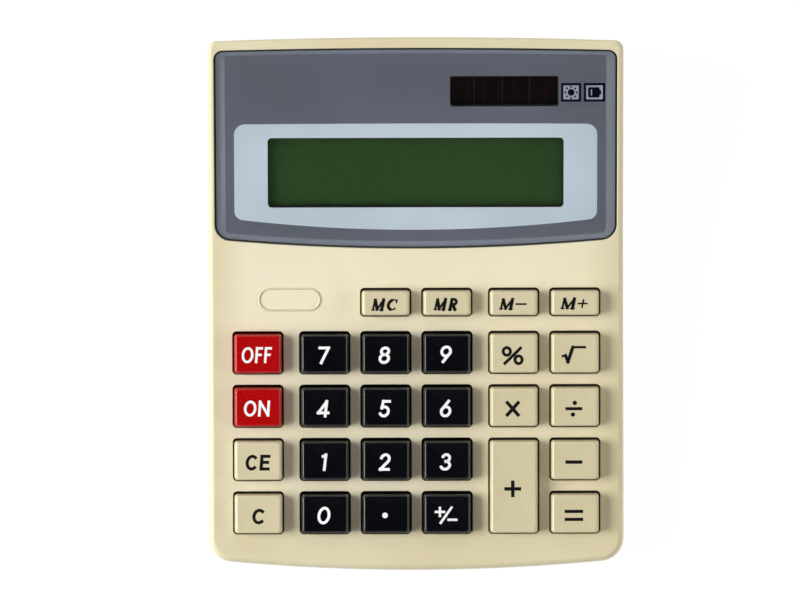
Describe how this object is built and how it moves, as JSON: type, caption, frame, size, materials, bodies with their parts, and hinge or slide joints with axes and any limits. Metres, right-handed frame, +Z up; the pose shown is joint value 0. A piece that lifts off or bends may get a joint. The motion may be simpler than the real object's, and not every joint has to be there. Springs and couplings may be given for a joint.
{
  "type": "desktop calculator",
  "caption": "Wedge-shaped desktop calculator with a raised blank display, a solar cell window and a keypad of spring-back keys.",
  "frame": {"origin": "on the table under the middle of the case", "axes": "+X to the user's right, +Y from the keys to the display, +Z up"},
  "size_m": [0.1036, 0.1328, 0.0316],
  "materials": {
    "ivory_case": "moulded ivory ABS, fine matt texture",
    "ivory_key": "moulded ivory ABS, satin",
    "black_key": "moulded black ABS, satin",
    "red_key": "moulded red ABS, satin",
    "display_window": "clear acrylic, printed on its underside",
    "display_glass": "liquid crystal panel, dark green",
    "solar_glass": "amorphous silicon on glass",
    "ribbon_film": "polyimide film with printed tracks",
    "mat_rubber": "moulded silicone",
    "board": "phenolic board",
    "resin": "cast epoxy",
    "cell_jacket": "plain metal jacket",
    "steel": "bright nickel plating",
    "red_wire": "PVC insulation",
    "black_wire": "PVC insulation",
    "foot_rubber": "moulded rubber"
  },
  "bodies": {
    "root": {"top_case": "ivory_case", "bottom_case": "ivory_case", "lcd_frame": "ivory_case", "display_lens": "display_window", "lcd_panel": "display_glass", "solar_cell": "solar_glass", "lcd_ribbon": "ribbon_film", "key_mat": "mat_rubber", "main_board": "board", "chip_cap": "resin", "battery_cell": "cell_jacket", "battery_spring": "steel", "battery_plate": "steel", "battery_wire_plus": "red_wire", "battery_wire_minus": "black_wire", "solar_wire_plus": "red_wire", "solar_wire_minus": "black_wire", "foot_front_left": "foot_rubber", "foot_front_right": "foot_rubber", "foot_rear_left": "foot_rubber", "foot_rear_right": "foot_rubber", "case_screw_front_left": "steel", "case_screw_front_right": "steel", "case_screw_middle_left": "steel", "case_screw_middle_right": "steel", "case_screw_rear_left": "steel", "case_screw_rear_right": "steel", "board_screw_1": "steel", "board_screw_2": "steel", "board_screw_3": "steel", "board_screw_4": "steel"},
    "off_button": {"key_off": "red_key"},
    "on_button": {"key_on": "red_key"},
    "ce_button": {"key_ce": "ivory_key"},
    "c_button": {"key_c": "ivory_key"},
    "0_button": {"key_0": "black_key"},
    "1_button": {"key_1": "black_key"},
    "2_button": {"key_2": "black_key"},
    "3_button": {"key_3": "black_key"},
    "4_button": {"key_4": "black_key"},
    "5_button": {"key_5": "black_key"},
    "6_button": {"key_6": "black_key"},
    "7_button": {"key_7": "black_key"},
    "8_button": {"key_8": "black_key"},
    "9_button": {"key_9": "black_key"},
    "point_button": {"key_point": "black_key"},
    "sign_button": {"key_sign": "black_key"},
    "percent_button": {"key_percent": "ivory_key"},
    "root_sign_button": {"key_root": "ivory_key"},
    "multiply_button": {"key_multiply": "ivory_key"},
    "divide_button": {"key_divide": "ivory_key"},
    "minus_button": {"key_minus": "ivory_key"},
    "equals_button": {"key_equals": "ivory_key"},
    "plus_button": {"key_plus": "ivory_key"},
    "mc_button": {"key_mc": "ivory_key"},
    "mr_button": {"key_mr": "ivory_key"},
    "m_minus_button": {"key_m_minus": "ivory_key"},
    "m_plus_button": {"key_m_plus": "ivory_key"},
    "cover": {"battery_cover": "ivory_case"}
  },
  "joints": [
    {"name": "off_press", "type": "slide", "parent": "root", "child": "off_button", "axis": [0, 0.1045, -0.9945], "range_m": [0, 0.0015], "stiffness_N_per_m": 330, "springref_m": -0.0005, "deforming": ["key_mat"]},
    {"name": "on_press", "type": "slide", "parent": "root", "child": "on_button", "axis": [0, 0.1045, -0.9945], "range_m": [0, 0.0015], "stiffness_N_per_m": 330, "springref_m": -0.0005, "deforming": ["key_mat"]},
    {"name": "ce_press", "type": "slide", "parent": "root", "child": "ce_button", "axis": [0, 0.1045, -0.9945], "range_m": [0, 0.0015], "stiffness_N_per_m": 330, "springref_m": -0.0005, "deforming": ["key_mat"]},
    {"name": "c_press", "type": "slide", "parent": "root", "child": "c_button", "axis": [0, 0.1045, -0.9945], "range_m": [0, 0.0015], "stiffness_N_per_m": 330, "springref_m": -0.0005, "deforming": ["key_mat"]},
    {"name": "0_press", "type": "slide", "parent": "root", "child": "0_button", "axis": [0, 0.1045, -0.9945], "range_m": [0, 0.0015], "stiffness_N_per_m": 330, "springref_m": -0.0005, "deforming": ["key_mat"]},
    {"name": "1_press", "type": "slide", "parent": "root", "child": "1_button", "axis": [0, 0.1045, -0.9945], "range_m": [0, 0.0015], "stiffness_N_per_m": 330, "springref_m": -0.0005, "deforming": ["key_mat"]},
    {"name": "2_press", "type": "slide", "parent": "root", "child": "2_button", "axis": [0, 0.1045, -0.9945], "range_m": [0, 0.0015], "stiffness_N_per_m": 330, "springref_m": -0.0005, "deforming": ["key_mat"]},
    {"name": "3_press", "type": "slide", "parent": "root", "child": "3_button", "axis": [0, 0.1045, -0.9945], "range_m": [0, 0.0015], "stiffness_N_per_m": 330, "springref_m": -0.0005, "deforming": ["key_mat"]},
    {"name": "4_press", "type": "slide", "parent": "root", "child": "4_button", "axis": [0, 0.1045, -0.9945], "range_m": [0, 0.0015], "stiffness_N_per_m": 330, "springref_m": -0.0005, "deforming": ["key_mat"]},
    {"name": "5_press", "type": "slide", "parent": "root", "child": "5_button", "axis": [0, 0.1045, -0.9945], "range_m": [0, 0.0015], "stiffness_N_per_m": 330, "springref_m": -0.0005, "deforming": ["key_mat"]},
    {"name": "6_press", "type": "slide", "parent": "root", "child": "6_button", "axis": [0, 0.1045, -0.9945], "range_m": [0, 0.0015], "stiffness_N_per_m": 330, "springref_m": -0.0005, "deforming": ["key_mat"]},
    {"name": "7_press", "type": "slide", "parent": "root", "child": "7_button", "axis": [0, 0.1045, -0.9945], "range_m": [0, 0.0015], "stiffness_N_per_m": 330, "springref_m": -0.0005, "deforming": ["key_mat"]},
    {"name": "8_press", "type": "slide", "parent": "root", "child": "8_button", "axis": [0, 0.1045, -0.9945], "range_m": [0, 0.0015], "stiffness_N_per_m": 330, "springref_m": -0.0005, "deforming": ["key_mat"]},
    {"name": "9_press", "type": "slide", "parent": "root", "child": "9_button", "axis": [0, 0.1045, -0.9945], "range_m": [0, 0.0015], "stiffness_N_per_m": 330, "springref_m": -0.0005, "deforming": ["key_mat"]},
    {"name": "point_press", "type": "slide", "parent": "root", "child": "point_button", "axis": [0, 0.1045, -0.9945], "range_m": [0, 0.0015], "stiffness_N_per_m": 330, "springref_m": -0.0005, "deforming": ["key_mat"]},
    {"name": "sign_press", "type": "slide", "parent": "root", "child": "sign_button", "axis": [0, 0.1045, -0.9945], "range_m": [0, 0.0015], "stiffness_N_per_m": 330, "springref_m": -0.0005, "deforming": ["key_mat"]},
    {"name": "percent_press", "type": "slide", "parent": "root", "child": "percent_button", "axis": [0, 0.1045, -0.9945], "range_m": [0, 0.0015], "stiffness_N_per_m": 330, "springref_m": -0.0005, "deforming": ["key_mat"]},
    {"name": "root_sign_press", "type": "slide", "parent": "root", "child": "root_sign_button", "axis": [0, 0.1045, -0.9945], "range_m": [0, 0.0015], "stiffness_N_per_m": 330, "springref_m": -0.0005, "deforming": ["key_mat"]},
    {"name": "multiply_press", "type": "slide", "parent": "root", "child": "multiply_button", "axis": [0, 0.1045, -0.9945], "range_m": [0, 0.0015], "stiffness_N_per_m": 330, "springref_m": -0.0005, "deforming": ["key_mat"]},
    {"name": "divide_press", "type": "slide", "parent": "root", "child": "divide_button", "axis": [0, 0.1045, -0.9945], "range_m": [0, 0.0015], "stiffness_N_per_m": 330, "springref_m": -0.0005, "deforming": ["key_mat"]},
    {"name": "minus_press", "type": "slide", "parent": "root", "child": "minus_button", "axis": [0, 0.1045, -0.9945], "range_m": [0, 0.0015], "stiffness_N_per_m": 330, "springref_m": -0.0005, "deforming": ["key_mat"]},
    {"name": "equals_press", "type": "slide", "parent": "root", "child": "equals_button", "axis": [0, 0.1045, -0.9945], "range_m": [0, 0.0015], "stiffness_N_per_m": 330, "springref_m": -0.0005, "deforming": ["key_mat"]},
    {"name": "plus_press", "type": "slide", "parent": "root", "child": "plus_button", "axis": [0, 0.1045, -0.9945], "range_m": [0, 0.0015], "stiffness_N_per_m": 330, "springref_m": -0.0005, "deforming": ["key_mat"]},
    {"name": "mc_press", "type": "slide", "parent": "root", "child": "mc_button", "axis": [0, 0.1045, -0.9945], "range_m": [0, 0.0015], "stiffness_N_per_m": 330, "springref_m": -0.0005, "deforming": ["key_mat"]},
    {"name": "mr_press", "type": "slide", "parent": "root", "child": "mr_button", "axis": [0, 0.1045, -0.9945], "range_m": [0, 0.0015], "stiffness_N_per_m": 330, "springref_m": -0.0005, "deforming": ["key_mat"]},
    {"name": "m_minus_press", "type": "slide", "parent": "root", "child": "m_minus_button", "axis": [0, 0.1045, -0.9945], "range_m": [0, 0.0015], "stiffness_N_per_m": 330, "springref_m": -0.0005, "deforming": ["key_mat"]},
    {"name": "m_plus_press", "type": "slide", "parent": "root", "child": "m_plus_button", "axis": [0, 0.1045, -0.9945], "range_m": [0, 0.0015], "stiffness_N_per_m": 330, "springref_m": -0.0005, "deforming": ["key_mat"]},
    {"name": "cover_hinge", "type": "hinge", "parent": "root", "child": "cover", "pos_m": [0, 0.04495, 0.001], "axis": [-1, 0, 0], "range_deg": [0, 70]}
  ]
}
